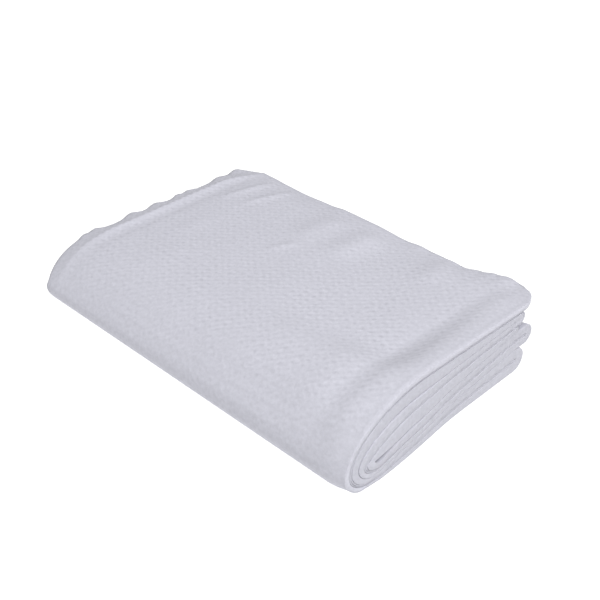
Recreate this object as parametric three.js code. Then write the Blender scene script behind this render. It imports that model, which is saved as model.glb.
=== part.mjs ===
// A thick white crochet bedspread, folded into a flat pack and laid down.
//
// The cloth is one sheet. It is first folded crosswise in three, so that every band of the pack is
// a strip of three layers: an outer layer whose wavy hem shows at one end of the pack, a middle
// layer that turns back from it in a plump fold at the other end, and an inner layer whose hem is
// tucked in there. The strip is then folded up and down. Four round turns nest inside one another
// along the front side, and three lobes and two free edges lie along the back side.
//
// Millimetres, Z up. X runs along the pack from the hemmed end to the folded end, and Y runs across
// it from the round front side to the lobed back side.
import * as THREE from "three";

// The sheet, and the air that is left on each side of it.
const SHEET = 1.6;
const AIR = 0.17;

// The pack's ends along X: the plump folds, the ridge where the inner layers turn back, how far the
// outer hem reaches past that ridge, and how far the other hem is tucked in behind the folds.
const FOLD_X = 270;
const RIDGE_X = -250;
const HEM_REACH = 17;
const TUCK = 12;

// Places across the pack where the level runs change thickness.
const THIN_Y = -104;
const RISING_Y = -80;
const TURN_Y = -30;
const BACK_Y = 130;

// The bands from the top one down: the room of each at the hemmed end, and at the folded end beside
// the round turns, in the middle and along the back. No band is thicker at its hem than beside its
// turn.
const BANDS = [
  { hem: 7.8, front: 13, middle: 13, back: 13 },
  { hem: 7.8, front: 19, middle: 19, back: 9 },
  { hem: 7.8, front: 11, middle: 11, back: 9 },
  { hem: 7.8, front: 20, middle: 20, back: 9 },
  { hem: 7.8, front: 6.2, middle: 10, back: 13 },
  { hem: 7.8, front: 6.2, middle: 9, back: 13 },
  { hem: 7.8, front: 6.2, middle: 8, back: 16 },
  { hem: 7.8, front: 6.4, middle: 10, back: 17 },
];

// The surfaces between the nested turns, from the outside in: where the nose of each is at the
// hemmed and at the folded end, and how deep its lower curve is.
const TURNS = [
  { hemY: -160, hemZ: 24, foldY: -157, foldZ: 26, lower: 30 },
  { hemY: -152, hemZ: 25, foldY: -145, foldZ: 26.8, lower: 22 },
  { hemY: -144, hemZ: 26, foldY: -134, foldZ: 27.6, lower: 15 },
  { hemY: -136, hemZ: 27, foldY: -125, foldZ: 28.4, lower: 10 },
  { hemY: -127, hemZ: 28.2, foldY: -112, foldZ: 29.2, lower: 7 },
];

// The back ends of the bands: where each reaches at the hemmed and at the folded end.
const TOP_EDGE = { hem: 210, fold: 180 };
const HIDDEN_EDGE = { hem: 162, fold: 135 };
const BOTTOM_LOBE = { hem: 184, fold: 154, upperBand: 6 };
const MIDDLE_LOBE = { hem: 194, fold: 165, upperBand: 4 };
const UPPER_LOBE = { hem: 180, fold: 144, upperBand: 1 };

// How the pack's corners are rounded: the hemmed end draws back towards the round front side, the
// top band's folded end draws back at its back edge, and the lower folds bulge near the front.
const HEM_CORNER = { from: -70, to: -158, depth: 34 };
const TOP_CORNER = { from: 140, to: 180, depth: 20 };
const LOWER_BULGE = { centre: -74, halfWidth: 60, depth: 5 };

// How the pack swells along X: slowly at first, then in a steep lip at the folded end. Along the back
// the top band is puffed up before the lip.
const SLOW_SWELL = 0.38;
const LIP_X = 203;
const PUFF = { from: 140, top: 208, to: 264, height: 12 };

// How far the hem and the top edge sag, and the waves along the hem.
const HEM_SAG = 8;
const EDGE_SAG = 7;
const WAVE = 2.4;
const WAVE_LENGTH = 52;

// How finely the curves are cut.
const TURN_STEPS = 10;
const LOBE_STEPS = 5;
const TOP_RUN_STEPS = 11;
const FOLD_STEPS = 6;
const RIDGE_STEPS = 3;
const LAYER_PLACES = [-60, 90, 150, 200, 226];

const HALF = SHEET / 2;
const { clamp, lerp, smoothstep } = THREE.MathUtils;

const share = (value, from, to) => clamp((value - from) / (to - from), 0, 1);
const alongPack = (x) => share(x, RIDGE_X, FOLD_X);
const placeOf = (edge, x) => lerp(edge.hem, edge.fold, alongPack(x));
const stepsOf = (count) => Array.from({ length: count + 1 }, (_, step) => step / count);

function swell(x) {
  const slow = SLOW_SWELL * share(x, RIDGE_X, LIP_X);
  return slow + (1 - SLOW_SWELL) * smoothstep(x, LIP_X, FOLD_X);
}

function puff(band, x) {
  if (band > 0) return 0;
  return PUFF.height * smoothstep(x, PUFF.from, PUFF.top) * (1 - smoothstep(x, PUFF.top, PUFF.to));
}

// The room of one band at a place on the pack.
function bandRoom(band, x, y) {
  const { hem, front, middle, back } = BANDS[band];
  const frontShare = Math.sqrt(share(y, THIN_Y, TURN_Y));
  const backShare = share(y, TURN_Y, BACK_Y);
  const hemRoom = lerp(Math.min(hem, front), hem, frontShare);
  const foldRoom = lerp(lerp(front, middle, frontShare), back, backShare);
  return lerp(hemRoom, foldRoom, swell(x)) + puff(band, x) * backShare;
}

// The height of the surface that has this many bands above it.
function surfaceZ(bandsAbove, x, y) {
  let z = 0;
  for (let band = bandsAbove; band < BANDS.length; band += 1) z += bandRoom(band, x, y);
  return z;
}

// A point on one of the nested turn surfaces. The angle is zero on top, a quarter turn at the nose
// and a half turn at the bottom.
function turnPoint(surface, angle, x) {
  const { hemY, hemZ, foldY, foldZ, lower } = TURNS[surface];
  const noseY = lerp(hemY, foldY, alongPack(x));
  const noseZ = lerp(hemZ, foldZ, alongPack(x));
  const isUpper = angle < Math.PI / 2;
  const centreY = isUpper ? TURN_Y : noseY + lower;
  const endZ = surfaceZ(isUpper ? surface : BANDS.length - surface, x, centreY);
  return {
    y: centreY - (centreY - noseY) * Math.sin(angle),
    z: noseZ + Math.abs(endZ - noseZ) * Math.cos(angle),
  };
}

// A lobe's outside point and its core. The angle is zero at the tip and grows upwards.
function lobePoints(lobe, angle, x) {
  const topZ = surfaceZ(lobe.upperBand, x, BACK_Y);
  const bottomZ = surfaceZ(lobe.upperBand + 2, x, BACK_Y);
  const radius = (topZ - bottomZ) / 2;
  const rootY = placeOf(lobe, x) - radius;
  return {
    outside: {
      y: rootY + radius * Math.cos(angle),
      z: (topZ + bottomZ) / 2 + radius * Math.sin(angle),
    },
    core: { y: rootY, z: surfaceZ(lobe.upperBand + 1, x, BACK_Y) },
  };
}

// How far the top band hangs down past the lobe under it.
function edgeSag(band, x, y) {
  if (band > 0) return 0;
  return EDGE_SAG * share(y, placeOf(UPPER_LOBE, x) - 6, placeOf(TOP_EDGE, x)) ** 2;
}

// The ends of a strip along X, beside a point of it.
const ridgeAt = (y) => RIDGE_X + HEM_CORNER.depth * share(y, HEM_CORNER.from, HEM_CORNER.to) ** 2;

function foldAt(band, y) {
  if (band === 0) return FOLD_X - TOP_CORNER.depth * share(y, TOP_CORNER.from, TOP_CORNER.to) ** 2;
  if (band < BANDS.length / 2) return FOLD_X;
  const off = clamp((y - LOWER_BULGE.centre) / LOWER_BULGE.halfWidth, -1, 1);
  return FOLD_X + LOWER_BULGE.depth * (1 - off * off) ** 2;
}

// A station is one place on the strip's way. For any X it gives the two points that the strip's
// three layers lie between: one on the outer layer's side and one on the inner layer's side.
function runStation(band, goesForward, placeAt) {
  const pairAt = (x) => {
    const y = placeAt(x);
    const sag = edgeSag(band, x, y);
    const above = { y, z: surfaceZ(band, x, y) - sag };
    const below = { y, z: surfaceZ(band + 1, x, y) - sag };
    return goesForward ? [above, below] : [below, above];
  };
  return { band, pairAt };
}

function turnStations(level, goesDown) {
  return stepsOf(TURN_STEPS).map((step) => {
    const angle = Math.PI * (goesDown ? step : 1 - step);
    const band = angle < Math.PI / 2 ? level : BANDS.length - 1 - level;
    const pairAt = (x) => {
      const outside = turnPoint(level, angle, x);
      const inside = turnPoint(level + 1, angle, x);
      return goesDown ? [outside, inside] : [inside, outside];
    };
    return { band, pairAt };
  });
}

function lobeStations(lobe, goesUp) {
  return stepsOf(LOBE_STEPS).map((step) => {
    const angle = Math.PI * (goesUp ? step - 0.5 : 0.5 - step);
    const pairAt = (x) => {
      const { outside, core } = lobePoints(lobe, angle, x);
      return goesUp ? [outside, core] : [core, outside];
    };
    return { band: lobe.upperBand, pairAt };
  });
}

// The level part of a band, between its turn and its lobe.
function levelRun(band, goesForward) {
  const isLower = band >= BANDS.length / 2;
  const places = isLower ? [THIN_Y, RISING_Y, TURN_Y, BACK_Y] : [BACK_Y];
  if (goesForward) places.reverse();
  return places.map((y) => runStation(band, goesForward, () => y));
}

function topRun() {
  const placeAt = (step) => (x) => lerp(placeOf(TOP_EDGE, x), TURN_Y, step);
  return stepsOf(TOP_RUN_STEPS).slice(0, -1).map((step) => runStation(0, true, placeAt(step)));
}

// The strip's whole way, from the top band's free edge to the hidden one at the pack's heart.
const WAY = [
  ...topRun(),
  ...turnStations(0, true),
  ...levelRun(7, false),
  ...lobeStations(BOTTOM_LOBE, true),
  ...levelRun(6, true),
  ...turnStations(1, false),
  ...levelRun(1, false),
  ...lobeStations(UPPER_LOBE, false),
  ...levelRun(2, true),
  ...turnStations(2, true),
  ...levelRun(5, false),
  ...lobeStations(MIDDLE_LOBE, true),
  ...levelRun(4, true),
  ...turnStations(3, false),
  ...levelRun(3, false),
  runStation(3, false, (x) => placeOf(HIDDEN_EDGE, x)),
];

const LAST_SAGGING = TOP_RUN_STEPS + TURN_STEPS / 2;

// How far along its way the strip has come at each station, measured near the hem.
const TRAVEL = WAY.reduce((travel, station, index) => {
  if (index === 0) return [0];
  const [here] = station.pairAt(RIDGE_X);
  const [before] = WAY[index - 1].pairAt(RIDGE_X);
  return [...travel, travel[index - 1] + Math.hypot(here.y - before.y, here.z - before.z)];
}, []);

function roomAt(station, x) {
  const [outer, inner] = station.pairAt(x);
  return Math.hypot(inner.y - outer.y, inner.z - outer.z);
}

// How deep the middles of the three layers lie in the strip.
function layerDepths(station, x) {
  const room = roomAt(station, x);
  const first = HALF + AIR;
  const third = room - HALF - AIR;
  const second = lerp(room / 2, third - SHEET - 2 * AIR, swell(x));
  return [first, second, third];
}

// One section across the strip: a closed outline of places along X and depths into the strip.
function sectionOf(index) {
  const station = WAY[index];
  const depth = (layer, x) => layerDepths(station, x)[layer];
  const gapHalf = (layer, x) => (depth(layer + 1, x) - depth(layer, x)) / 2;
  const between = (layer, x) => (depth(layer + 1, x) + depth(layer, x)) / 2;

  const ridgeX = ridgeAt(station.pairAt(RIDGE_X)[0].y);
  const ridgeRadius = gapHalf(1, ridgeX);
  const startX = ridgeX + ridgeRadius + HALF;
  const foldRadius = gapHalf(0, FOLD_X);
  const endX = foldAt(station.band, station.pairAt(FOLD_X)[0].y) - foldRadius - HALF;
  const wave = WAVE * Math.sin((2 * Math.PI * TRAVEL[index]) / WAVE_LENGTH);
  const hemX = ridgeX - HEM_REACH - wave;
  const sagShare = share(LAST_SAGGING - index, 0, TURN_STEPS / 2);
  const sag = (x) => (HEM_SAG + wave) * sagShare * share(x, ridgeX + 8, hemX) ** 2;

  const tuckLevel = [startX, ...LAYER_PLACES, endX - TUCK];
  const level = [...tuckLevel, endX];
  const hemLevel = [hemX, lerp(hemX, startX, 0.45), ...level];

  const face = (layer, side, places) => places.map((x) => (
    { x, depth: depth(layer, x) + side * HALF + (layer === 0 ? sag(x) : 0) }
  ));
  const bend = (layer, centreX, radius, count, reach, from) => (
    stepsOf(count).slice(1, -1).map((step) => {
      const x = centreX + reach * radius * Math.sin(Math.PI * step);
      const half = gapHalf(layer, x) + radius - gapHalf(layer, centreX);
      return { x, depth: between(layer, x) + from * half * Math.cos(Math.PI * step) };
    })
  );
  const reversed = (places) => [...places].reverse();

  return [
    ...face(0, -1, hemLevel),
    ...bend(0, endX, foldRadius + HALF, FOLD_STEPS, 1, -1),
    ...face(1, 1, reversed(level)),
    ...bend(1, startX, ridgeRadius - HALF, RIDGE_STEPS, -1, -1),
    ...face(2, -1, tuckLevel),
    ...face(2, 1, reversed(tuckLevel)),
    ...bend(1, startX, ridgeRadius + HALF, RIDGE_STEPS, -1, 1),
    ...face(1, -1, level),
    ...bend(0, endX, foldRadius - HALF, FOLD_STEPS, 1, 1),
    ...face(0, 1, reversed(hemLevel)),
  ];
}

// A section's point in space.
function placePoint(station, { x, depth }) {
  const [outer, inner] = station.pairAt(x);
  const part = depth / roomAt(station, x);
  return new THREE.Vector3(x, lerp(outer.y, inner.y, part), lerp(outer.z, inner.z, part));
}

// Skins the sections one after another, and closes the two free edges across the sheet. Each patch is
// cut along the same diagonal of the pack as its neighbours, so that close layers stay clear.
function clothGeometry() {
  const sections = WAY.map((_, index) => sectionOf(index));
  const count = sections[0].length;
  const points = sections.flatMap((section, index) => (
    section.map((place) => placePoint(WAY[index], place))
  ));
  const faces = [];
  for (let row = 0; row + 1 < sections.length; row += 1) {
    for (let column = 0; column < count; column += 1) {
      const here = row * count + column;
      const next = row * count + ((column + 1) % count);
      const corners = [here, here + count, next + count, next];
      const [a, b, , d] = corners.map((corner) => points[corner]);
      const isCrossed = (b.y - a.y) * (d.x - a.x) > 0;
      const order = isCrossed ? [0, 1, 2, 0, 2, 3] : [0, 1, 3, 3, 1, 2];
      faces.push(...order.map((place) => corners[place]));
    }
  }
  const lastRow = points.length - count;
  for (let column = 0; column + 1 < count / 2; column += 1) {
    const across = count - 1 - column;
    const edge = [column, column + 1, across - 1, column, across - 1, across];
    faces.push(...edge);
    faces.push(...edge.toReversed().map((place) => lastRow + place));
  }

  const geometry = new THREE.BufferGeometry().setFromPoints(points);
  geometry.setIndex(faces);
  geometry.computeVertexNormals();
  return geometry;
}

const cloth = new THREE.MeshStandardMaterial({ color: 0xdcdbe2, roughness: 0.9, metalness: 0 });
const bedspread = new THREE.Mesh(clothGeometry(), cloth);
bedspread.name = "bedspread";

// The pack is centred on the origin and stands on the floor.
bedspread.geometry.computeBoundingBox();
const { min, max } = bedspread.geometry.boundingBox;
bedspread.geometry.translate(-(min.x + max.x) / 2, -(min.y + max.y) / 2, -min.z);

const pack = new THREE.Group();
pack.name = "folded_bedspread";
pack.add(bedspread);

export default pack;
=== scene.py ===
# %% [markdown]
# # A folded crochet bedspread
# The real thing is one large white cotton cloth, crocheted all over in rows of small raised puffs. It lies
# folded in a flat pack: one round side, one plump end of folds, and a wavy hem at the other end.
#
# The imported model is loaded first. Everything below is made in its frame, in metres with Z up, so the
# cloth lies where the solid does and nothing is fitted afterwards.

# %% Load the frame
import math
from collections import namedtuple

import bpy
import numpy as np
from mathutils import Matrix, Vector


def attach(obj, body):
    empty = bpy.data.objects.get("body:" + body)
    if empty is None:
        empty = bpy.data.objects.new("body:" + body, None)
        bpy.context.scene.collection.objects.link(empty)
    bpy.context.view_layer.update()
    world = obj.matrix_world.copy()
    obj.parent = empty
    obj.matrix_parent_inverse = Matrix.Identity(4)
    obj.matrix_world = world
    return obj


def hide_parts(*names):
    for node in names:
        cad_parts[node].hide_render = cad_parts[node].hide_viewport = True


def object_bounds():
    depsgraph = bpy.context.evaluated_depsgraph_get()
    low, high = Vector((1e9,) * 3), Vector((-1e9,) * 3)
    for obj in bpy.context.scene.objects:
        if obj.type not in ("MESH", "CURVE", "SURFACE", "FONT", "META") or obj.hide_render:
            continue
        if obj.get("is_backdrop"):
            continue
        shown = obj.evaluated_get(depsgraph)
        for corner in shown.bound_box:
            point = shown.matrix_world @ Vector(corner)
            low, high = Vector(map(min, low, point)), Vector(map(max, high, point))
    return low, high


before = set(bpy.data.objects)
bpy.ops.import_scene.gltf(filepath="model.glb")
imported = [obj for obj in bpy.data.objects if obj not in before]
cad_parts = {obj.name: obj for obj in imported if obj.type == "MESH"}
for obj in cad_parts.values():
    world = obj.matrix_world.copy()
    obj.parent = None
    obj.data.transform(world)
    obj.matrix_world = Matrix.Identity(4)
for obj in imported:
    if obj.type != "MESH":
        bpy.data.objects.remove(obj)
cad_low, cad_high = (tuple(corner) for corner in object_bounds())
MM = 0.001
print("The packed model measures, in mm:", [round((h - l) / MM, 1) for l, h in zip(cad_low, cad_high)])

# %% [markdown]
# ## How the cloth is folded
# The cloth is folded crosswise in three, which makes a long strip of three layers, and that strip is folded
# up and down into eight bands. A cloth simulation could not fold so thick a pack neatly, so the folds are
# worked out: two surfaces bound each band, and the strip's three layers lie between them.
#
# X runs along the pack, from the hem to the plump folds. Y runs across it, from the round side to the back.
# The sizes are those of the solid, so both have the same folds.

# %% Sizes of the pack
SHEET = 1.6 * MM
HALF = SHEET / 2
AIR = 0.17 * MM

FOLD_X = 270 * MM
RIDGE_X = -250 * MM
HEM_REACH = 15.5 * MM
TUCK = 0.5 * MM

THIN_Y = -104 * MM
TURN_Y = -30 * MM
BACK_Y = 130 * MM

# The room of each band, from the top one down: at the hem, and at the plump end beside the round turns,
# in the middle and along the back.
Band = namedtuple("Band", "hem front middle back")
BANDS = [
    Band(*(size * MM for size in row))
    for row in (
        (7.8, 13, 13, 13),
        (7.8, 19, 19, 9),
        (7.8, 11, 11, 9),
        (7.8, 20, 20, 9),
        (7.8, 6.2, 10, 13),
        (7.8, 6.2, 9, 13),
        (7.8, 6.2, 8, 16),
        (7.8, 6.4, 10, 17),
    )
]

# The surfaces between the nested turns, from the outside in: the nose at the hem and at the plump end,
# and how deep the lower curve is.
Turn = namedtuple("Turn", "hem_y hem_z fold_y fold_z lower")
TURNS = [
    Turn(*(size * MM for size in row))
    for row in (
        (-160, 24, -155.5, 26, 24),
        (-152, 25, -144, 26.8, 22),
        (-144, 26, -133.2, 27.6, 15),
        (-136, 27, -124.5, 28.4, 10),
        (-127, 28.2, -111.6, 29.2, 7),
    )
]
TURN_POWERS = (1, 1, 1.15, 1.6, 4)

# Where the bands end along the back, at the hem and at the plump end.
Edge = namedtuple("Edge", "hem fold")
TOP_EDGE = Edge(205 * MM, 178 * MM)
EDGE_DRAW = 9 * MM
EDGE_DRAW_LENGTH = 45 * MM
HIDDEN_EDGE = Edge(162 * MM, 135 * MM)

# The lobes join two bands along the back, the upper one of which is numbered here.
Lobe = namedtuple("Lobe", "hem fold upper_band")
BOTTOM_LOBE = Lobe(184 * MM, 154 * MM, 6)
MIDDLE_LOBE = Lobe(194 * MM, 165 * MM, 4)
UPPER_LOBE = Lobe(180 * MM, 144 * MM, 1)

print("Bands in the pack:", len(BANDS), "and nested turns:", len(TURNS) - 1)

# %% Heights of the bands
SLOW_SWELL = 0.5
LIP_X = 212 * MM
BACK_LIP_X = 221 * MM
Puff = namedtuple("Puff", "start top end height")
BACK_PUFF = Puff(60 * MM, 222 * MM, 268 * MM, 9.5 * MM)


def share(value, start, end):
    return np.clip((value - start) / (end - start), 0, 1)


def ease(value, start, end):
    part = share(value, start, end)
    return part * part * (3 - 2 * part)


def mix(first, second, part):
    return first + (second - first) * part


def along_pack(x):
    return share(x, RIDGE_X, FOLD_X)


def place_of(edge, x):
    return mix(edge.hem, edge.fold, along_pack(x))


def top_edge_y(x):
    """Where the free edge on top lies. It draws in towards the hem's corner."""
    near_hem = share(x, RIDGE_X + EDGE_DRAW_LENGTH, RIDGE_X - HEM_REACH)
    return place_of(TOP_EDGE, x) - EDGE_DRAW * near_hem**2


def swell(x, back_share=0):
    """The pack swells slowly along X, and then in a steep lip, which starts later at the back."""
    lip_start = mix(LIP_X, BACK_LIP_X, back_share)
    return SLOW_SWELL * along_pack(x) + (1 - SLOW_SWELL) * ease(x, lip_start, FOLD_X)


def band_room(band, x, y):
    hem, front, middle, back = BANDS[band]
    near_front = share(y, THIN_Y, TURN_Y)
    front_share = near_front * (2 - near_front)
    back_share = share(y, TURN_Y, BACK_Y)
    hem_room = mix(min(hem, front), hem, front_share)
    fold_room = mix(mix(front, middle, front_share), back, back_share)
    room = mix(hem_room, fold_room, swell(x, back_share))
    if band == 0:
        rise = ease(x, BACK_PUFF.start, BACK_PUFF.top) * (1 - ease(x, BACK_PUFF.top, BACK_PUFF.end))
        room = room + BACK_PUFF.height * rise * back_share
    return room


def surface_z(bands_above, x, y):
    """The height of the surface that has this many bands above it."""
    return sum((band_room(band, x, y) for band in range(bands_above, len(BANDS))), np.zeros_like(x))


print("Height of the middle at the hem and at the lip, in mm:",
      (surface_z(0, np.array([RIDGE_X, FOLD_X]), np.zeros(2)) / MM).round(1))

# %% [markdown]
# ## The strip's way
# A station is one place on the way that the strip takes through the pack. For any X it gives the two points
# that the three layers lie between, one on the outer layer's side and one on the inner layer's. The way
# starts at the free edge on top, goes round the front and under, and winds inwards to the pack's heart.

# %% Stations along the way
Station = namedtuple("Station", "outside sag bulge slant pair_at")
EDGE_CLEAR = 16 * MM
EDGE_POWER = 1.5

# How far the free edge on top hangs down, from place to place along X.
EDGE_SAGS = [
    (place * MM, depth * MM)
    for place, depth in (
        (-250, 6.5), (-205, 5), (-172, 6.5), (-125, 8), (-80, 6.5), (-50, 3.5), (5, 3.5), (58, 6), (84, 4),
        (108, 6.5), (132, 8.5), (156, 11.5), (180, 8), (202, 3.5), (222, 0), (246, 6), (270, 7),
    )
]


def bulge_of(band):
    """How much of the lower bulge a band takes at the plump end."""
    return float(share(band, 1, len(BANDS) / 2))


def slant_of(band):
    """How much the bulge grows from a band's upper side to its lower side."""
    return bulge_of(band + 0.5) - bulge_of(band - 0.5)


def edge_sag(x, y):
    """How far the top band hangs down past the lobe under it."""
    depth = EDGE_SAGS[0][1]
    for (start, before), (end, after) in zip(EDGE_SAGS, EDGE_SAGS[1:]):
        depth = depth + (after - before) * ease(x, start, end)
    return depth * share(y, place_of(UPPER_LOBE, x) - EDGE_CLEAR, top_edge_y(x)) ** EDGE_POWER


def run_station(band, forward, place_at):
    def pair_at(x):
        y = place_at(x)
        sag = edge_sag(x, y) if band == 0 else 0
        above = (y, surface_z(band, x, y) - sag)
        below = (y, surface_z(band + 1, x, y) - sag)
        return (above, below) if forward else (below, above)

    slant = slant_of(band) * (1 if forward else -1)
    return Station("top" if band == 0 else "hidden", float(band == 0), bulge_of(band), slant, pair_at)


def turn_point(surface, angle, x):
    """A point on a nested turn. The angle is zero on top, and a half turn at the bottom."""
    turn = TURNS[surface]
    nose_y = mix(turn.hem_y, turn.fold_y, along_pack(x))
    nose_z = mix(turn.hem_z, turn.fold_z, along_pack(x))
    upper = angle < math.pi / 2
    centre_y = np.full_like(x, TURN_Y) if upper else nose_y + turn.lower
    end_z = surface_z(surface if upper else len(BANDS) - surface, x, centre_y)
    rise = math.cos(angle) ** TURN_POWERS[surface] if upper else math.cos(angle)
    return centre_y - (centre_y - nose_y) * math.sin(angle), nose_z + abs(end_z - nose_z) * rise


def turn_station(level, angle, down):
    def pair_at(x):
        outside = turn_point(level, angle, x)
        inside = turn_point(level + 1, angle, x)
        return (outside, inside) if down else (inside, outside)

    bulge = mix(bulge_of(level), 1, angle / math.pi)
    slant = mix(slant_of(level), 0, angle / math.pi) * (1 if down else -1)
    if level > 0:
        return Station("hidden", 0.0, bulge, slant, pair_at)
    return Station("round", max(0.0, 1 - 2 * angle / math.pi), bulge, slant, pair_at)


def lobe_station(lobe, angle, up):
    def pair_at(x):
        back = np.full_like(x, BACK_Y)
        top_z = surface_z(lobe.upper_band, x, back)
        bottom_z = surface_z(lobe.upper_band + 2, x, back)
        radius = (top_z - bottom_z) / 2
        root_y = place_of(lobe, x) - radius
        outside = (root_y + radius * math.cos(angle), (top_z + bottom_z) / 2 + radius * math.sin(angle))
        core = (root_y, surface_z(lobe.upper_band + 1, x, back))
        return (outside, core) if up else (core, outside)

    return Station("lobe", 0.0, bulge_of(lobe.upper_band), 0.0, pair_at)


# %% The whole way
TOP_RUN_STEPS = 42
UPPER_TURN_STEPS = 28
LOWER_TURN_STEPS = 12
INNER_TURN_STEPS = 9
LOBE_STEPS = 10
LOWER_RUN_STEPS = 10
UPPER_RUN_STEPS = 4


def level_run(band, forward):
    lower = band >= len(BANDS) / 2
    steps = LOWER_RUN_STEPS if lower else UPPER_RUN_STEPS
    places = np.linspace(THIN_Y if lower else TURN_Y, BACK_Y, steps + 1)[0 if lower else 1:]
    if forward:
        places = places[::-1]
    return [run_station(band, forward, lambda x, y=y: np.full_like(x, y)) for y in places]


def top_run(steps):
    parts = np.linspace(0, 1, steps + 1)[:-1]
    return [run_station(0, True, lambda x, part=part: mix(top_edge_y(x), TURN_Y, part)) for part in parts]


def round_turn(level, down, upper_steps=INNER_TURN_STEPS, lower_steps=INNER_TURN_STEPS):
    quarter = math.pi / 2
    upper = np.linspace(0, quarter, upper_steps, endpoint=False)
    angles = [*upper, *np.linspace(quarter, math.pi, lower_steps + 1)]
    return [turn_station(level, angle, down) for angle in (angles if down else angles[::-1])]


def lobe_turn(lobe, up):
    angles = np.linspace(-math.pi / 2, math.pi / 2, LOBE_STEPS + 1)
    return [lobe_station(lobe, angle, up) for angle in (angles if up else angles[::-1])]


WAY = [
    *top_run(TOP_RUN_STEPS),
    *round_turn(0, True, UPPER_TURN_STEPS, LOWER_TURN_STEPS),
    *level_run(7, False),
    *lobe_turn(BOTTOM_LOBE, True),
    *level_run(6, True),
    *round_turn(1, False),
    *level_run(1, False),
    *lobe_turn(UPPER_LOBE, False),
    *level_run(2, True),
    *round_turn(2, True),
    *level_run(5, False),
    *lobe_turn(MIDDLE_LOBE, True),
    *level_run(4, True),
    *round_turn(3, False),
    *level_run(3, False),
    run_station(3, False, lambda x: place_of(HIDDEN_EDGE, x)),
]
print("Stations along the strip's way:", len(WAY))

# %% [markdown]
# ## Creases and the wavy hem
# On the real cloth the hem is wavy and uneven, a few soft wrinkles run beside it, the back edge is puckered,
# and a trough lies behind the lip. Each of these is placed as a soft ridge or trough: a line on the pack,
# how wide it is, and how high. A noise would spread them evenly, and they are uneven. They move the outer
# layer only, so the layers under it stay where they are.

# %% Creases of the outer layer
CREASE_RISE = (-0.15, 0.3)
CREASE_FALL = (0.7, 1.15)
Crease = namedtuple("Crease", "from_x from_y to_x to_y half_width height")
CREASES = [
    Crease(*(size * MM for size in row))
    for row in (
        # beside the hem
        (-196, 104, -177, 182, 7, 2.0),
        (-160, 112, -136, 184, 7, 1.8),
        (-168, -10, -160, 60, 14, 0.9),
        # puckers along the back edge
        (-40, 92, -34, 170, 21, 2.6),
        (21, 88, 32, 166, 21, 3.6),
        (148, 112, 144, 172, 17, 2.0),
        # a short crease in the middle
        (-46, 44, -28, 86, 7, 1.3),
        # the trough behind the lip: deep in the middle, and filled towards the round side
        (236, 0, 234, 84, 14, -0.6),
        (130, -130, 130, -44, 100, 4.5),
        (204, -140, 204, -26, 48, 7),
        # long soft folds on the round side
        (-190, -112, 90, -104, 12, 1.3),
        (-120, -130, 160, -122, 5, 0.9),
        (-60, -144, 190, -138, 4, 1.0),
        (-200, -140, 20, -146, 4, 0.9),
        (-20, -154, 200, -152, 2.5, 0.9),
    )
]


def crease_lift(x, y):
    lift = np.zeros_like(x)
    for crease in CREASES:
        along_x, along_y = crease.to_x - crease.from_x, crease.to_y - crease.from_y
        length = math.hypot(along_x, along_y)
        part = ((x - crease.from_x) * along_x + (y - crease.from_y) * along_y) / length**2
        aside = ((x - crease.from_x) * along_y - (y - crease.from_y) * along_x) / length
        ends = ease(part, *CREASE_RISE) * (1 - ease(part, *CREASE_FALL))
        lift += crease.height * ends * np.exp(-((aside / crease.half_width) ** 2))
    return lift


# Slow swells of the whole outer layer: a wave length along X and along Y, and a height.
Swell = namedtuple("Swell", "wave_x wave_y height")
SWELLS = [
    Swell(*(size * MM for size in row)) for row in ((210, 460, 0.25), (138, -190, 0.22), (84, 310, 0.1))
]


def slow_lift(x, y):
    waves = (s.height * np.sin(2 * math.pi * (x / s.wave_x + y / s.wave_y)) for s in SWELLS)
    return sum(waves) + sum(s.height for s in SWELLS)


print("Creases placed by hand:", len(CREASES))

# %% The wavy hem
HEM_SAG = 11 * MM
Scallop = namedtuple("Scallop", "place half_width reach")
SCALLOPS = [
    Scallop(*(size * MM for size in row))
    for row in (
        (192, 14, 3.2),
        (158, 12, 2.4),
        (101, 8, 2.2),
        (82, 8, 2.4),
        (42, 13, 3.0),
        (1, 13, 3.4),
        (-61, 9, 3.0),
        (-81, 9, 2.6),
    )
]
MEAN_REACH = 1.4 * MM
LOWER_WAVE = 2.0 * MM
LOWER_WAVE_LENGTHS = (47 * MM, 71 * MM)


def hem_wave(travel, y, outermost):
    """How far the hem reaches past its mean line: as placed on top, and in uneven waves lower down."""
    if outermost:
        return sum(s.reach * math.exp(-(((y - s.place) / s.half_width) ** 2)) for s in SCALLOPS) - MEAN_REACH
    return LOWER_WAVE * sum(math.sin(2 * math.pi * travel / length) for length in LOWER_WAVE_LENGTHS) / 2


print("Scallops along the top hem:", len(SCALLOPS))

# %% [markdown]
# ## One section across the strip
# At every station the cloth is a flat S of three layers. Its outline runs once round the sheet: along the
# outer layer from the hem, round the plump fold, back along the middle layer, round the ridge and along the
# inner layer to the tucked hem, and then all the way back on the sheet's other side. A place in the outline
# is an X and a depth into the strip. It also keeps how far along the flat cloth it lies, so that the crochet
# rows can follow.

# %% Depths of the layers
Corner = namedtuple("Corner", "start end depth")
CORNER_POWER = 3
HEM_CORNER = Corner(-35 * MM, -158 * MM, 32 * MM)
TOP_CORNER = Corner(125 * MM, 180 * MM, 26 * MM)
Bulge = namedtuple("Bulge", "centre half_width depth")
LOWER_BULGE = Bulge(-105 * MM, 140 * MM, 7.5 * MM)
BACK_TAPER = 1.5 * MM
LIP_OVERHANG = 1 * MM


def corner_draw(corner, y):
    return corner.depth * share(y, corner.start, corner.end) ** CORNER_POWER


def lower_bulge(y):
    off = np.clip((y - LOWER_BULGE.centre) / LOWER_BULGE.half_width, -1, 1)
    return LOWER_BULGE.depth * (1 - off**2) ** 2


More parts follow.
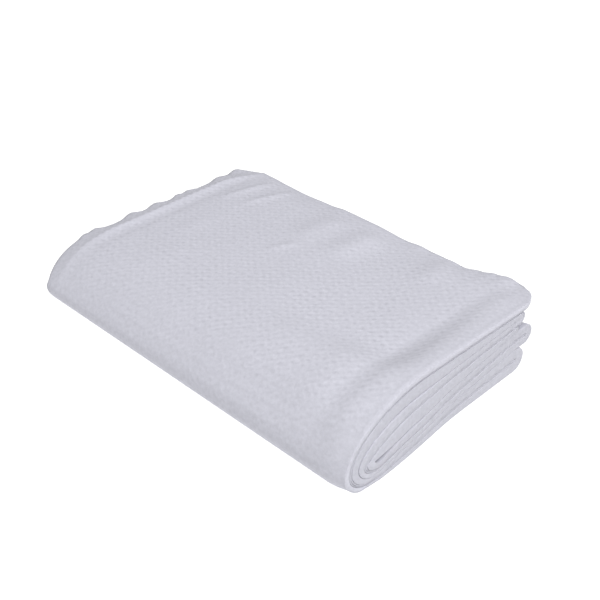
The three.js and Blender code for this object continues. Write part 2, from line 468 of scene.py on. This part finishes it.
def fold_at(station, y):
    """Where the plump fold ends at a station."""
    if station.outside == "top":
        return FOLD_X + LIP_OVERHANG - corner_draw(TOP_CORNER, y)
    overhang = LIP_OVERHANG * station.sag
    return FOLD_X + overhang + station.bulge * (lower_bulge(y) - BACK_TAPER * share(y, TURN_Y, BACK_Y))


# %% The strip at a station
HEM_FADE = 40 * MM
HEM_SAG_POWER = 1.15
HEM_CREST = 18 * MM
CORNER_CREST = 14 * MM
CORNER_START = 130 * MM
CORNER_END = 192 * MM
ROUND_START = -30 * MM
ROUND_END = -115 * MM
TIP_START = 178 * MM
TIP_END = 200 * MM
TIP_LIFT = 0.5
HEM_RIDGE = 2.4 * MM
HEM_RIDGE_WIDTH = 6 * MM
RIDGE_LOSS = 0.6
HEM_TROUGH = 0.9 * MM
HEM_TROUGH_PLACE = 17 * MM
HEM_TROUGH_WIDTH = 8 * MM
LIP_CREST = 246 * MM
LIP_DROP = 3.5 * MM
BACK_LIP_CREST = 234 * MM
BACK_LIP_DROP = 5.5 * MM
LIP_FADE = 30 * MM
DROP_START = 0.2
UPPER_SIDE = 0.25
ROUND_POWER = 0.95
PRESSED_POWER = 0.15
PRESS_START = 0.15
PRESS_END = 0.65


def at_one(function, x, *given):
    return float(function(*given, np.array([x]))[0])


class Strip:
    """The three layers at one station: where they start and end along X, and how deep they lie."""

    def __init__(self, station, travel=0.0):
        self.station = station
        self.shown = station.outside in ("top", "round")
        line_y = at_one(lambda x: station.pair_at(x)[0][0], RIDGE_X)
        end_y = at_one(lambda x: station.pair_at(x)[0][0], FOLD_X)
        self.ridge_x = RIDGE_X + float(corner_draw(HEM_CORNER, line_y))
        self.ridge_radius = at_one(self.gap_half, self.ridge_x, 1)
        near_corner = float(ease(line_y, CORNER_START, CORNER_END))
        near_round = 1 - float(ease(line_y, ROUND_END, ROUND_START))
        near_tip = float(ease(line_y, TIP_START, TIP_END))
        kept_ridge = (1 - RIDGE_LOSS * near_corner) * (1 - RIDGE_LOSS * near_round)
        self.ridge_share = math.sqrt(station.sag) * kept_ridge
        self.crest_x = self.ridge_x + HEM_CREST * math.sqrt(station.sag) + CORNER_CREST * near_corner
        self.start_x = self.crest_x + self.ridge_radius + HALF
        self.fold_radius = at_one(self.gap_half, FOLD_X, 0)
        self.end_x = float(fold_at(station, end_y)) - self.fold_radius - HALF
        self.slant = station.slant * float(lower_bulge(end_y))
        self.near_back = float(share(end_y, TURN_Y, BACK_Y))
        self.wave = hem_wave(travel, line_y, self.shown)
        self.hem_sag = (HEM_SAG - self.wave) * station.sag * (1 - TIP_LIFT * near_tip)
        self.hem_x = self.ridge_x - HEM_REACH - self.wave
        self.bend_length = math.pi * (self.fold_radius + HALF)

    def depth(self, layer, x):
        (outer_y, outer_z), (inner_y, inner_z) = self.station.pair_at(x)
        room = np.hypot(inner_y - outer_y, inner_z - outer_z)
        third = room - HALF - AIR
        second = mix(room / 2, third - SHEET - 2 * AIR, swell(x))
        return (np.full_like(x, HALF + AIR), second, third)[layer]

    def gap_half(self, layer, x):
        return (self.depth(layer + 1, x) - self.depth(layer, x)) / 2

    def lip_drop(self, x):
        """How far the outer layer rolls down towards the end of the lip."""
        crest = mix(LIP_CREST, BACK_LIP_CREST, self.near_back)
        return mix(LIP_DROP, BACK_LIP_DROP, self.near_back) * share(x, crest, FOLD_X) ** 2

    def outer_lift(self, x):
        """How far creases lift the outer layer, less how far its hem sags and its lip rolls down."""
        if not self.shown:
            return np.zeros_like(x)
        past_crest = x - self.crest_x
        ridge = HEM_RIDGE * np.exp(-((past_crest / HEM_RIDGE_WIDTH) ** 2))
        trough = HEM_TROUGH * np.exp(-(((past_crest - HEM_TROUGH_PLACE) / HEM_TROUGH_WIDTH) ** 2))
        sag = self.hem_sag * share(x, self.crest_x, self.hem_x) ** HEM_SAG_POWER
        (y, _), _ = self.station.pair_at(x)
        past_hem = ease(x, self.crest_x, self.crest_x + HEM_FADE)
        at_lip = ease(x, self.end_x - LIP_FADE, self.end_x)
        fade = past_hem * (1 - at_lip) * float(ease(self.station.sag, 0, UPPER_SIDE))
        lift = (crease_lift(x, y) + slow_lift(x, y)) * fade + (ridge - trough) * self.ridge_share
        return lift - sag - self.lip_drop(x)

    def face(self, layer, side, x):
        lift = self.outer_lift(x) if layer == 0 else 0
        return self.depth(layer, x) + side * HALF - lift

    def bend(self, layer, centre_x, radius, steps, reach, start):
        """A bend between two layers. Bands press each other square, and only the lip on top stays round."""
        sine, cosine = np.sin(math.pi * steps), np.cos(math.pi * steps)
        pressed = ease(steps, PRESS_START, PRESS_END) if self.shown and reach > 0 else 1
        power = mix(ROUND_POWER, PRESSED_POWER, pressed)
        outward = 1 - steps if start < 0 else steps
        x = centre_x + reach * radius * sine**power
        if reach > 0:
            x = x + self.slant * (0.5 - outward)
        half = self.gap_half(layer, x) + radius - at_one(self.gap_half, centre_x, layer)
        between = (self.depth(layer, x) + self.depth(layer + 1, x)) / 2
        depth = between + start * half * np.sign(cosine) * abs(cosine) ** power
        if self.shown and reach > 0:
            depth += self.lip_drop(centre_x) * ease(outward, DROP_START, 1)
        return x, depth

    def place(self, x, depth):
        """Points in space for places along the strip."""
        (outer_y, outer_z), (inner_y, inner_z) = self.station.pair_at(x)
        part = depth / np.hypot(inner_y - outer_y, inner_z - outer_z)
        return np.stack([x, mix(outer_y, inner_y, part), mix(outer_z, inner_z, part)], axis=1)


# %% The outline of a section
HEM_COLUMNS = 10
BEND_STEPS = 12
RIDGE_STEPS = 5
WIDE_STEP = 6.5 * MM
LIP_STEP = 4.6 * MM
LIP_START = 150 * MM
COARSENESS = 3

# Places along a layer as shares of its length, closer together in the lip.
lip_share = (LIP_START - RIDGE_X) / (FOLD_X - RIDGE_X)
wide_parts = np.linspace(0, lip_share, round((LIP_START - RIDGE_X) / WIDE_STEP), endpoint=False)
lip_parts = np.linspace(lip_share, 1, round((FOLD_X - LIP_START) / LIP_STEP))
fine_parts = np.concatenate([wide_parts, lip_parts])
coarse_parts = np.concatenate([wide_parts[::COARSENESS], lip_parts])
bend_parts = np.linspace(0, 1, BEND_STEPS + 1)[1:-1]
ridge_parts = np.linspace(0, 1, RIDGE_STEPS + 1)[1:-1]

Stretch = namedtuple("Stretch", "name x depth flat")


def section_of(strip):
    start_x, end_x = strip.start_x, strip.end_x
    hem_part = np.linspace(strip.hem_x, start_x, HEM_COLUMNS, endpoint=False)
    outer = np.concatenate([hem_part, mix(start_x, end_x, fine_parts)])
    middle = mix(start_x, end_x, coarse_parts)
    tucked = mix(start_x, end_x + strip.fold_radius + HALF + strip.slant / 2 - TUCK, coarse_parts)
    outer_back, middle_back, tucked_back = outer[::-1], middle[::-1], tucked[::-1]

    ridge_length = math.pi * strip.ridge_radius
    middle_flat = end_x + strip.bend_length
    ridge_flat = middle_flat + end_x - start_x
    inner_flat = ridge_flat + ridge_length
    fold = strip.bend(0, end_x, strip.fold_radius + HALF, bend_parts, 1, -1)
    fold_back = strip.bend(0, end_x, strip.fold_radius - HALF, bend_parts, 1, 1)
    ridge = strip.bend(1, start_x, strip.ridge_radius - HALF, ridge_parts, -1, -1)
    ridge_back = strip.bend(1, start_x, strip.ridge_radius + HALF, ridge_parts, -1, 1)

    return [
        Stretch("outer", outer, strip.face(0, -1, outer), outer),
        Stretch("fold", *fold, end_x + strip.bend_length * bend_parts),
        Stretch("middle", middle_back, strip.face(1, 1, middle_back), middle_flat + end_x - middle_back),
        Stretch("ridge", *ridge, ridge_flat + ridge_length * ridge_parts),
        Stretch("inner", tucked, strip.face(2, -1, tucked), inner_flat + tucked - start_x),
        Stretch(
            "inner_back", tucked_back, strip.face(2, 1, tucked_back), inner_flat + tucked_back - start_x
        ),
        Stretch("ridge_back", *ridge_back, inner_flat - ridge_length * ridge_parts),
        Stretch("middle_back", middle, strip.face(1, -1, middle), middle_flat + end_x - middle),
        Stretch("fold_back", *fold_back, middle_flat - strip.bend_length * bend_parts),
        Stretch("outer_back", outer_back, strip.face(0, 1, outer_back), outer_back),
    ]


print("Columns along the outer layer:", len(fine_parts) + HEM_COLUMNS)

# %% Place every section
SOLID_BULGE = 6 * MM


def flat_lengths(points, start_row):
    """How far each point lies along the strip's way, from the row where the top run ends."""
    steps = np.linalg.norm(np.diff(points[:, :, 1:], axis=0), axis=2)
    way = np.concatenate([np.zeros((1, points.shape[1])), np.cumsum(steps, axis=0)])
    return way - way[start_row]


lines = np.array([[at_one(lambda x: s.pair_at(x)[0][axis], RIDGE_X) for axis in (0, 1)] for s in WAY])
travels = np.concatenate([[0], np.cumsum(np.hypot(*np.diff(lines, axis=0).T))])
strips = [Strip(station, travel) for station, travel in zip(WAY, travels)]
sections = [section_of(strip) for strip in strips]


def joined(field):
    """One value of all the stretches, as a grid of stations by columns."""
    rows = ([getattr(stretch, field) for stretch in section] for section in sections)
    return np.array([np.concatenate(row) for row in rows])


column_x, column_depth, flat_u = joined("x"), joined("depth"), joined("flat")
cloth_points = np.array([strip.place(*row) for strip, *row in zip(strips, column_x, column_depth)])
flat_v = flat_lengths(cloth_points, TOP_RUN_STEPS)
row_count, column_count = cloth_points.shape[:2]

lowest = cloth_points.min(axis=(0, 1))
end_shift = cad_high[0] - FOLD_X - SOLID_BULGE
pack_shift = np.array([end_shift, cad_low[1] - lowest[1], cad_low[2] - lowest[2]])
cloth_points += pack_shift
print("Rows and columns of the sheet:", row_count, column_count)
print("The sheet's mean length along its way, in m:", round(float(np.ptp(flat_v, axis=0).mean()), 3))

# %% [markdown]
# ## The sheet
# The sections are skinned into one closed thin mesh. Its UV map is the flat cloth in metres: U runs along
# the section and V along the way, so the crochet rows can follow every fold.

# %% Faces of the sheet
FLAT_MAP = "flat"


def grid_faces(rows, columns, closed):
    """Quads between the rows of a grid of points, which may be closed into a tube."""
    steps = np.arange(columns if closed else columns - 1)
    here = np.arange(rows - 1)[:, None] * columns + steps
    after = np.arange(rows - 1)[:, None] * columns + (steps + 1) % columns
    return np.stack([here, here + columns, after + columns, after], axis=2).reshape(-1, 4)


def grid_object(name, points, faces, u, v):
    mesh = bpy.data.meshes.new(name)
    mesh.from_pydata(points.reshape(-1, 3).tolist(), [], faces.tolist())
    mesh.shade_smooth()
    flat = np.stack([u.ravel(), v.ravel()], axis=1)
    mesh.uv_layers.new(name=FLAT_MAP).data.foreach_set("uv", flat[faces].ravel())
    made = bpy.data.objects.new(name, mesh)
    bpy.context.collection.objects.link(made)
    return made


near_side = np.arange(column_count // 2 - 1)
far_side = column_count - 1 - near_side
first_rim = np.stack([near_side, near_side + 1, far_side - 1, far_side], axis=1)
last_rim = first_rim[:, ::-1] + (row_count - 1) * column_count
sheet_faces = np.concatenate([grid_faces(row_count, column_count, True), first_rim, last_rim])
cloth = grid_object("bedspread_cloth", cloth_points, sheet_faces, flat_u, flat_v)
print("Triangles of the sheet:", 2 * len(sheet_faces))

# %% [markdown]
# ## Crochet rows
# The cloth is worked in rows of low puffs. On top and on the round side they are real relief, so that they
# catch the light from every side. The rows repeat, so Geometry Nodes raise them: a fine skin lies on the
# sheet's outer side, and the tree lifts each of its points by a height that depends only on where the point
# lies on the flat cloth. The same height, as a shader group, gives the folds their rows as a bump.

# %% A fine skin on the outer layer
SKIN_STEP = 1.95 * MM
SKIN_HEM = 1.5 * MM
SKIN_BEND_END = 0.8
SKIN_BEND_STEPS = 11
BORDER_FADE = 7 * MM
LIP_ROW_FADE = 34 * MM
ROUND_ROWS = 0.45
ROUND_ROWS_START = 10 * MM
ROUND_ROWS_END = 70 * MM

SKIN_RUN_STEPS = 122
SKIN_UPPER_STEPS = 76
SKIN_LOWER_STEPS = 28
skin_way = [*top_run(SKIN_RUN_STEPS), *round_turn(0, True, SKIN_UPPER_STEPS, SKIN_LOWER_STEPS)]
skin_columns = round((FOLD_X - RIDGE_X + HEM_REACH) / SKIN_STEP)
skin_bend = np.linspace(0, SKIN_BEND_END, SKIN_BEND_STEPS + 1)[1:]


def skin_row(strip):
    x = np.linspace(strip.hem_x + SKIN_HEM, strip.end_x, skin_columns)
    bend_x, bend_depth = strip.bend(0, strip.end_x, strip.fold_radius + HALF, skin_bend, 1, -1)
    points = strip.place(np.concatenate([x, bend_x]), np.concatenate([strip.face(0, -1, x), bend_depth]))
    return points, np.concatenate([x, strip.end_x + strip.bend_length * skin_bend])


skin_rows = [skin_row(Strip(station)) for station in skin_way]
skin_points = np.array([points for points, _ in skin_rows]) + pack_shift
skin_u = np.array([flat for _, flat in skin_rows])
skin_v = flat_lengths(skin_points, SKIN_RUN_STEPS)
edges = [skin_u - skin_u[:, :1], skin_u[:, -1:] - skin_u, skin_v - skin_v[:1], skin_v[-1:] - skin_v]
border_fade = ease(np.min(edges, axis=0), 0, BORDER_FADE)
# The material reads row_fade too: where it is low the cloth is painted darker, as painted shade that dims
# the lip's rim, and with it the borders and the round side.
row_fade = border_fade * ease(edges[1], 0, LIP_ROW_FADE)
from_nose = skin_points[:, :, 1] - cad_low[1]
row_fade *= mix(ROUND_ROWS, 1, ease(from_nose, ROUND_ROWS_START, ROUND_ROWS_END))

skin = grid_object("crochet_rows", skin_points, grid_faces(*skin_u.shape, False), skin_u, skin_v)
for name, values in (("border_fade", border_fade), ("row_fade", row_fade)):
    skin.data.attributes.new(name, "FLOAT", "POINT").data.foreach_set("value", values.ravel())
print("Triangles of the skin:", 2 * len(skin.data.polygons))

# %% Height of the rows
PUFF_WIDTH = 12.3 * MM
ROW_HEIGHT = 10.5 * MM
DRIFT = 7 * MM
DRIFT_SCALE = 60.0
MEAN_HEIGHT = 0.5
STAGGER = 0.22
ROW_RIB = 0.12
SLANT_RIB = 0.07
UNEVEN_SCALE = 17.0
UNEVEN_GAIN = 1.6
LEAST_GAIN = 0.2


def add_node(tree, kind, inputs=(), **settings):
    made = tree.nodes.new(kind)
    for name, value in settings.items():
        setattr(made, name, value)
    for socket, value in dict(inputs).items():
        if isinstance(value, bpy.types.NodeSocket):
            tree.links.new(value, made.inputs[socket])
        else:
            made.inputs[socket].default_value = value
    return made


def math_node(tree, operation, *values):
    return add_node(tree, "ShaderNodeMath", enumerate(values), operation=operation).outputs[0]


def row_height_nodes(tree, flat, puff_width, row_height):
    """Nodes for the height of the staggered puffs, from 0 in the grooves to about 1 on the puffs."""
    drift = add_node(tree, "ShaderNodeTexNoise", {"Vector": flat, "Scale": DRIFT_SCALE, "Detail": 2.0})
    centred = add_node(tree, "ShaderNodeVectorMath", {
        0: drift.outputs["Color"], 1: (0.5, 0.5, 0.5),
    }, operation="SUBTRACT")
    moved = add_node(tree, "ShaderNodeVectorMath", {
        0: centred.outputs[0], 1: (DRIFT, DRIFT, 0), 2: flat,
    }, operation="MULTIPLY_ADD")
    split = add_node(tree, "ShaderNodeSeparateXYZ", {0: moved.outputs[0]}).outputs
    u_turn = math_node(tree, "DIVIDE", math_node(tree, "MULTIPLY", split["X"], 2 * math.pi), puff_width)
    v_turn = math_node(tree, "DIVIDE", math_node(tree, "MULTIPLY", split["Y"], 2 * math.pi), row_height)
    across, along = math_node(tree, "COSINE", u_turn), math_node(tree, "COSINE", v_turn)
    slant = math_node(tree, "COSINE", math_node(tree, "ADD", u_turn, v_turn))
    puffs = math_node(tree, "MULTIPLY_ADD", math_node(tree, "MULTIPLY", across, along), STAGGER, MEAN_HEIGHT)
    ribs = math_node(tree, "MULTIPLY_ADD", along, ROW_RIB, puffs)
    height = math_node(tree, "MULTIPLY_ADD", slant, SLANT_RIB, ribs)
    uneven = add_node(tree, "ShaderNodeTexNoise", {"Vector": flat, "Scale": UNEVEN_SCALE, "Detail": 1.0})
    gain = math_node(tree, "MULTIPLY_ADD", uneven.outputs["Fac"], UNEVEN_GAIN, LEAST_GAIN)
    swing = math_node(tree, "SUBTRACT", height, MEAN_HEIGHT)
    return math_node(tree, "MULTIPLY_ADD", swing, gain, MEAN_HEIGHT)


# %% Node tree that raises the rows
def add_sockets(tree, in_out, kind, *names):
    for name in names:
        tree.interface.new_socket(name, in_out=in_out, socket_type="NodeSocket" + kind)


def named_value(tree, name, kind):
    reader = add_node(tree, "GeometryNodeInputNamedAttribute", {"Name": name}, data_type=kind)
    return reader.outputs["Attribute"]


def relief_tree():
    tree = bpy.data.node_groups.new("raise_crochet_rows", "GeometryNodeTree")
    add_sockets(tree, "INPUT", "Geometry", "Skin")
    add_sockets(tree, "INPUT", "Float", "Puff Width", "Row Height", "Relief", "Clearance")
    add_sockets(tree, "INPUT", "Material", "Finish")
    add_sockets(tree, "OUTPUT", "Geometry", "Rows")
    given = tree.nodes.new("NodeGroupInput").outputs
    flat = named_value(tree, FLAT_MAP, "FLOAT_VECTOR")
    height = row_height_nodes(tree, flat, given["Puff Width"], given["Row Height"])
    clear = math_node(tree, "MULTIPLY", given["Clearance"], named_value(tree, "border_fade", "FLOAT"))
    relief = math_node(tree, "MULTIPLY", given["Relief"], named_value(tree, "row_fade", "FLOAT"))
    raised = math_node(tree, "MULTIPLY_ADD", height, relief, clear)
    normal = tree.nodes.new("GeometryNodeInputNormal").outputs["Normal"]
    offset = add_node(tree, "ShaderNodeVectorMath", {0: normal, "Scale": raised}, operation="SCALE")
    moved = add_node(tree, "GeometryNodeSetPosition", {
        "Geometry": given["Skin"], "Offset": offset.outputs[0],
    })
    whole = add_node(tree, "GeometryNodeRealizeInstances", {"Geometry": moved.outputs[0]})
    finish = add_node(tree, "GeometryNodeSetMaterial", {
        "Geometry": whole.outputs[0], "Material": given["Finish"],
    })
    tree.links.new(finish.outputs[0], tree.nodes.new("NodeGroupOutput").inputs["Rows"])
    return tree


rows_tree = relief_tree()
print("Node tree:", rows_tree.name, "with", len(rows_tree.nodes), "nodes")

# %% [markdown]
# ## Finish: matt cotton
# Crochet cotton is matt and a little fuzzy, white with a cool cast in its shade. Two groups are shared by
# the materials of the sheet and of the raised rows: fine fibres, which give a fuzzy height and a soft tone,
# and the height of the crochet rows, whose low parts are painted darker and cooler: painted shade in the
# grooves and holes. The folds are painted darker than the rows, and bare cloth where the rows fade is
# painted darker too; both are painted shade. A picture of the cloth would bring its own light along, so
# everything is worked out from noise and from the place on the flat cloth.

# %% Shared groups of the finish
def fibre_group():
    tree = bpy.data.node_groups.new("cotton_fibres", "ShaderNodeTree")
    add_sockets(tree, "INPUT", "Vector", "Vector")
    add_sockets(tree, "INPUT", "Float", "Fibre Scale")
    add_sockets(tree, "OUTPUT", "Float", "Fuzz")
    given = tree.nodes.new("NodeGroupInput").outputs
    fine = add_node(tree, "ShaderNodeTexNoise", {
        "Vector": given["Vector"], "Scale": given["Fibre Scale"], "Detail": 3.0, "Roughness": 0.6,
    })
    tree.links.new(fine.outputs["Fac"], tree.nodes.new("NodeGroupOutput").inputs["Fuzz"])
    return tree


def rows_group():
    tree = bpy.data.node_groups.new("crochet_row_height", "ShaderNodeTree")
    add_sockets(tree, "INPUT", "Vector", "Flat")
    add_sockets(tree, "INPUT", "Float", "Puff Width", "Row Height")
    add_sockets(tree, "OUTPUT", "Float", "Height")
    given = tree.nodes.new("NodeGroupInput").outputs
    height = row_height_nodes(tree, given["Flat"], given["Puff Width"], given["Row Height"])
    tree.links.new(height, tree.nodes.new("NodeGroupOutput").inputs["Height"])
    return tree


fibres = fibre_group()
row_heights = rows_group()
print("Shared groups:", fibres.name, "and", row_heights.name)

# %% Cotton materials
# The first colour is painted shade, which the grooves and holes between the puffs are painted towards; the
# second is the cotton.
GROOVE_SHADE = (0.48, 0.48, 0.535, 1)
COTTON = (0.75, 0.75, 0.832, 1)
COTTON_SURFACE = {
    "Roughness": 0.92, "Specular IOR Level": 0.2, "Sheen Weight": 0.1, "Sheen Roughness": 0.6,
}
RELIEF = 0.7 * MM
FOLD_RELIEF = 0.25 * RELIEF
# The folds' copy of the cotton is painted darker by this share: painted shade.
FOLD_PAINTED_SHADE = 0.9
FUZZ = 0.45 * MM
FIBRE_SCALE = 240.0
FIBRE_TONE = 0.7
# Where the rows fade, bare cloth is painted darker through this offset: painted shade on the lip's rim, the
# borders and the folds.
PLAIN_SHADE_TONE = 0.03
# These paint the rows lighter on the puffs and darker in the grooves and holes: painted shade.
ROW_SHADE_TONE = 0.25
HOLE_SHADE_HEIGHTS = (0.1, 0.34)
HOLE_SHADE_TONES = (-0.01, 0.07)


def shaded(colour, shade):
    return (*(part * shade for part in colour[:3]), 1)


def crochet_cotton(name, bump_relief, shade):
    material = bpy.data.materials.new(name)
    material.use_nodes = True
    tree = material.node_tree
    shader = tree.nodes["Principled BSDF"]
    for socket, value in COTTON_SURFACE.items():
        shader.inputs[socket].default_value = value

    place = add_node(tree, "ShaderNodeTexCoord").outputs["Object"]
    flat = add_node(tree, "ShaderNodeUVMap", uv_map=FLAT_MAP).outputs["UV"]
    fibre = add_node(tree, "ShaderNodeGroup", node_tree=fibres)
    tree.links.new(place, fibre.inputs["Vector"])
    fibre.inputs["Fibre Scale"].default_value = FIBRE_SCALE
    rows = add_node(tree, "ShaderNodeGroup", node_tree=row_heights)
    tree.links.new(flat, rows.inputs["Flat"])
    rows.inputs["Puff Width"].default_value = PUFF_WIDTH
    rows.inputs["Row Height"].default_value = ROW_HEIGHT

    height = math_node(tree, "MULTIPLY", fibre.outputs["Fuzz"], FUZZ)
    if bump_relief:
        height = math_node(tree, "MULTIPLY_ADD", rows.outputs["Height"], bump_relief, height)
    bump = add_node(tree, "ShaderNodeBump", {"Height": height, "Distance": 1.0, "Strength": 1.0})
    tree.links.new(bump.outputs["Normal"], shader.inputs["Normal"])
    row_fade = add_node(tree, "ShaderNodeAttribute", attribute_name="row_fade").outputs["Fac"]
    # Painted shade: the holes between the puffs are painted darker.
    hole_shade = add_node(tree, "ShaderNodeMapRange", {
        "Value": rows.outputs["Height"], "From Min": HOLE_SHADE_HEIGHTS[0], "From Max": HOLE_SHADE_HEIGHTS[1],
        "To Min": HOLE_SHADE_TONES[0], "To Max": HOLE_SHADE_TONES[1],
    }, interpolation_type="SMOOTHSTEP")
    row_shade_tone = math_node(tree, "MULTIPLY_ADD", rows.outputs["Height"], ROW_SHADE_TONE, hole_shade.outputs["Result"])
    # Painted shade: the tone falls where the rows fade, so the lip's rim and the bare folds are painted
    # darker.
    bare_tone_with_shade = math_node(tree, "MULTIPLY_ADD", fibre.outputs["Fuzz"], FIBRE_TONE, PLAIN_SHADE_TONE)
    tone = math_node(tree, "MULTIPLY_ADD", row_shade_tone, row_fade, bare_tone_with_shade)
    colour = add_node(tree, "ShaderNodeMix", {
        0: tone, 6: shaded(GROOVE_SHADE, shade), 7: shaded(COTTON, shade),
    }, data_type="RGBA")
    tree.links.new(colour.outputs[2], shader.inputs["Base Color"])
    return material


# Two copies of one cotton: the folds' copy is painted darker as painted shade, and the rows' copy keeps the
# full colour.
sheet_cotton = crochet_cotton("crochet_cotton_folds", FOLD_RELIEF, FOLD_PAINTED_SHADE)
rows_cotton = crochet_cotton("crochet_cotton_rows", 0, 1)
cloth.data.materials.append(sheet_cotton)
print("Finishes:", sheet_cotton.name, "and", rows_cotton.name)

# %% Raise the rows
CLEARANCE = 0.4 * MM


def raise_rows(piece, sizes):
    modifier = piece.modifiers.new("rows", "NODES")
    modifier.node_group = rows_tree
    sockets = {item.name: item.identifier for item in rows_tree.interface.items_tree}
    for name, value in sizes.items():
        modifier[sockets[name]] = value
    graph = bpy.context.evaluated_depsgraph_get()
    mesh = bpy.data.meshes.new_from_object(piece.evaluated_get(graph), depsgraph=graph)
    piece.modifiers.remove(modifier)
    piece.data = mesh


raise_rows(skin, {
    "Puff Width": PUFF_WIDTH,
    "Row Height": ROW_HEIGHT,
    "Relief": RELIEF,
    "Clearance": CLEARANCE,
    "Finish": rows_cotton,
})
print("Raised rows:", len(skin.data.polygons), "faces")

# %% [markdown]
# ## Floor, light and camera
# The pack lies on a plain white floor in an even white studio: a faint sky all round, and one large softbox
# high beyond the plump end, which leaves a little shade behind the lip and the hem. The floor glows, as a
# lit white table does, and so lights the sides from below. The camera looks down at the corner between the
# round side and the plump end.

# %% Floor and light
FLOOR_SIZE = 14.0
FLOOR_DROP = 0.5 * MM
FLOOR_GREY = (0.15, 0.15, 0.15, 1)
FLOOR_GLOW = 1.1
edge = FLOOR_SIZE / 2
floor_corners = [(x * edge, y * edge, -FLOOR_DROP) for x, y in ((-1, -1), (1, -1), (1, 1), (-1, 1))]
floor_mesh = bpy.data.meshes.new("floor")
floor_mesh.from_pydata(floor_corners, [], [(0, 1, 2, 3)])
floor = bpy.data.objects.new("floor", floor_mesh)
bpy.context.collection.objects.link(floor)
white = bpy.data.materials.new("white_floor")
white.use_nodes = True
floor_shader = white.node_tree.nodes["Principled BSDF"]
floor_shader.inputs["Base Color"].default_value = FLOOR_GREY
floor_shader.inputs["Roughness"].default_value = 0.9
floor_shader.inputs["Specular IOR Level"].default_value = 0.1
floor_shader.inputs["Emission Color"].default_value = (1, 1, 1, 1)
floor_shader.inputs["Emission Strength"].default_value = FLOOR_GLOW
floor_mesh.materials.append(white)
floor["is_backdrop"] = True

SKY_COLOUR = (0.985, 0.985, 1.0, 1)
SKY_STRENGTH = 0.15
sky = bpy.data.worlds.new("white_studio")
sky.use_nodes = True
sky.node_tree.nodes["Background"].inputs["Color"].default_value = SKY_COLOUR
sky.node_tree.nodes["Background"].inputs["Strength"].default_value = SKY_STRENGTH
bpy.context.scene.world = sky

LIGHT_PLACE = Vector((2.5, -0.72, 5.0))
LIGHT_SIZE = 3.4
LIGHT_POWER = 326
softbox = bpy.data.lights.new("softbox", "AREA")
softbox.size = LIGHT_SIZE
softbox.energy = LIGHT_POWER
lamp = bpy.data.objects.new("softbox", softbox)
lamp.location = LIGHT_PLACE
lamp.rotation_euler = (-LIGHT_PLACE).to_track_quat("-Z", "Y").to_euler()
bpy.context.collection.objects.link(lamp)
bpy.context.scene.view_settings.view_transform = "Standard"
print("Light:", softbox.name, "over a floor of", FLOOR_SIZE, "m")

# %% Camera
CAMERA_PLACE = (0.75411, -0.72151, 0.72380)
CAMERA_PITCH = 0.588
CAMERA_TURN = 0.78747
LENS = 61.42
SENSOR = 36
camera_data = bpy.data.cameras.new("camera")
camera_data.lens = LENS
camera_data.sensor_width = SENSOR
camera_data.clip_start = 0.01
camera = bpy.data.objects.new("camera", camera_data)
camera.location = CAMERA_PLACE
camera.rotation_euler = (math.pi / 2 - CAMERA_PITCH, 0, CAMERA_TURN)
bpy.context.collection.objects.link(camera)
bpy.context.scene.camera = camera
print("Camera looks down by", round(math.degrees(CAMERA_PITCH), 1), "degrees")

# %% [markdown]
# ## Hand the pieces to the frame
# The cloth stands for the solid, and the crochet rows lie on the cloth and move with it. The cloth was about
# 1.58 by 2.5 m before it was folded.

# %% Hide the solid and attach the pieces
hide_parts("bedspread")
for piece in (cloth, skin):
    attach(piece, "root")
